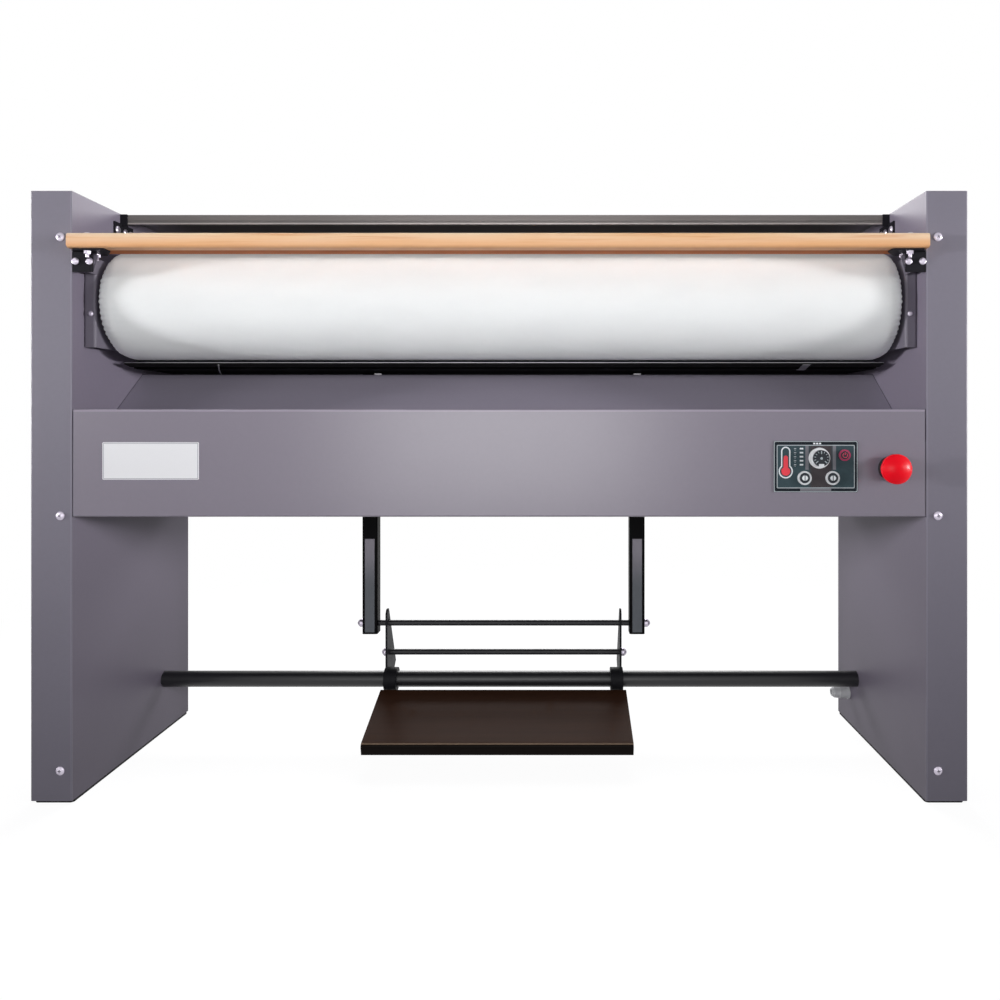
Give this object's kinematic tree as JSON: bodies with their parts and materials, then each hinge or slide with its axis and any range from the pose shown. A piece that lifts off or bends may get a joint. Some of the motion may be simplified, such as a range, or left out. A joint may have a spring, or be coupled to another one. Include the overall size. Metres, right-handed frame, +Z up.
{
  "type": "flatwork ironer",
  "caption": "Floor-standing flatwork ironer: a padded roller runs in a swinging heated trough between side cabinets, with a foot pedal, finger guard board, linen chute and front controls.",
  "frame": {"origin": "on the floor, at the centre of the bounding box's underside", "axes": "+X to the right seen from the operator's side, +Y from the operator to the back, +Z up"},
  "size_m": [1.608, 0.459, 1.05],
  "materials": {
    "cabinet_paint": "satin grey powder coat",
    "frame_paint": "satin grey powder coat",
    "panel_paint": "satin light grey powder coat",
    "box_paint": "satin grey powder coat",
    "hood_paint": "satin grey powder coat",
    "black_paint": "gloss black",
    "cast_housing": "painted casting",
    "motor_paint": "painted casting",
    "electrics_paint": "satin",
    "trough_metal": "polished inside",
    "shaft_steel": "turned",
    "zinc_fasteners": "bright zinc plate",
    "bush_bronze": "turned",
    "roller_cloth": "white ironing cloth",
    "mineral_wool": "fibre wool",
    "pale_wood": "clear lacquer",
    "brown_wood": "dark brown stain",
    "strip_rubber": "matt",
    "gland_plastic": "moulded",
    "plate_plastic": "satin film",
    "switch_plastic": "moulded",
    "bezel_plastic": "moulded",
    "knob_plastic": "moulded",
    "button_plastic": "moulded",
    "stop_red": "moulded"
  },
  "bodies": {
    "root": {"base_strips": "strip_rubber", "bearing_brackets": "frame_paint", "bearings": "cast_housing", "box_ends": "box_paint", "box_tray": "box_paint", "button_bezels": "bezel_plastic", "cable_gland": "gland_plastic", "chute_clips": "shaft_steel", "control_plate": "plate_plastic", "cross_tube": "black_paint", "dome_screws": "zinc_fasteners", "drive_chain": "shaft_steel", "electrics_box": "electrics_paint", "estop_collar": "switch_plastic", "frame_bolts": "zinc_fasteners", "front_panel": "panel_paint", "gearmotor": "motor_paint", "guard_screws": "zinc_fasteners", "hood": "hood_paint", "hood_brackets": "black_paint", "left_side_cover": "cabinet_paint", "left_side_frame": "frame_paint", "linen_chute": "box_paint", "pivot_bushes": "bush_bronze", "pivot_shaft": "shaft_steel", "rear_panel": "box_paint", "right_side_cover": "cabinet_paint", "right_side_frame": "frame_paint", "switch_blocks": "switch_plastic"},
    "roller": {"roller_drum": "shaft_steel", "roller_end_discs": "shaft_steel", "roller_padding": "roller_cloth", "roller_shaft": "shaft_steel", "roller_sprocket": "shaft_steel"},
    "motor_drive": {"motor_shaft": "shaft_steel", "motor_sprocket": "shaft_steel"},
    "chest": {"arm_bolts": "zinc_fasteners", "arms": "black_paint", "chest_back_plate": "black_paint", "chest_cover": "black_paint", "chest_end_plates": "black_paint", "heating_elements": "shaft_steel", "insulation": "mineral_wool", "link_rod": "shaft_steel", "link_rod_nuts": "zinc_fasteners", "trough": "trough_metal", "trough_straps": "shaft_steel"},
    "pedal": {"pedal_board": "brown_wood", "pedal_plates": "black_paint", "tie_rod": "shaft_steel", "tie_rod_nuts": "zinc_fasteners"},
    "guard": {"guard_board": "pale_wood", "guard_bolts": "zinc_fasteners", "guard_brackets": "black_paint"},
    "temperature_knob": {"temperature_knob": "knob_plastic"},
    "left_button": {"left_button": "button_plastic"},
    "right_button": {"right_button": "button_plastic"},
    "power_button": {"power_button": "button_plastic"},
    "estop_stem": {"estop_stem": "stop_red"},
    "estop_head": {"estop_head": "stop_red"}
  },
  "joints": [
    {"name": "roller_spin", "type": "hinge", "parent": "root", "child": "roller", "pos_m": [0, -0.0695, 0.8697], "axis": [1, 0, 0], "continuous": true, "deforming": ["drive_chain"]},
    {"name": "motor_spin", "type": "hinge", "parent": "root", "child": "motor_drive", "pos_m": [-0.75, -0.0545, 0.58497], "axis": [1, 0, 0], "continuous": true},
    {"name": "chest_swing", "type": "hinge", "parent": "root", "child": "chest", "pos_m": [0, 0.1245, 1], "axis": [1, 0, 0], "range_deg": [-1.31, 0]},
    {"name": "pedal_press", "type": "hinge", "parent": "root", "child": "pedal", "pos_m": [-0.0135, 0.1245, 0.1105], "axis": [1, 0, 0], "range_deg": [0, 8.5]},
    {"name": "guard_tilt", "type": "hinge", "parent": "root", "child": "guard", "pos_m": [0, -0.19, 0.929], "axis": [1, 0, 0], "range_deg": [-4, 0], "stiffness_Nm_per_rad": 18, "springref_deg": 1.72},
    {"name": "temperature_turn", "type": "hinge", "parent": "root", "child": "temperature_knob", "pos_m": [0.548, -0.1905, 0.592], "axis": [0, 1, 0], "range_deg": [0, 270]},
    {"name": "left_button_press", "type": "slide", "parent": "root", "child": "left_button", "axis": [0, 1, 0], "range_m": [0, 0.002], "stiffness_N_per_m": 400, "springref_m": -0.001},
    {"name": "right_button_press", "type": "slide", "parent": "root", "child": "right_button", "axis": [0, 1, 0], "range_m": [0, 0.002], "stiffness_N_per_m": 400, "springref_m": -0.001},
    {"name": "power_button_press", "type": "slide", "parent": "root", "child": "power_button", "axis": [0, 1, 0], "range_m": [0, 0.002], "stiffness_N_per_m": 400, "springref_m": -0.001},
    {"name": "estop_press", "type": "slide", "parent": "root", "child": "estop_stem", "axis": [0, 1, 0], "range_m": [0, 0.005], "stiffness_N_per_m": 600, "springref_m": -0.002},
    {"name": "estop_twist", "type": "hinge", "parent": "estop_stem", "child": "estop_head", "pos_m": [0.6695, -0.1905, 0.5745], "axis": [0, 1, 0], "range_deg": [0, 45], "stiffness_Nm_per_rad": 0.08, "springref_deg": -11.46}
  ],
  "couplings": [
    {"joint": "motor_spin", "follows": "roller_spin", "ratio": 2.5333},
    {"joint": "pedal_press", "follows": "chest_swing", "ratio": -6.438}
  ]
}
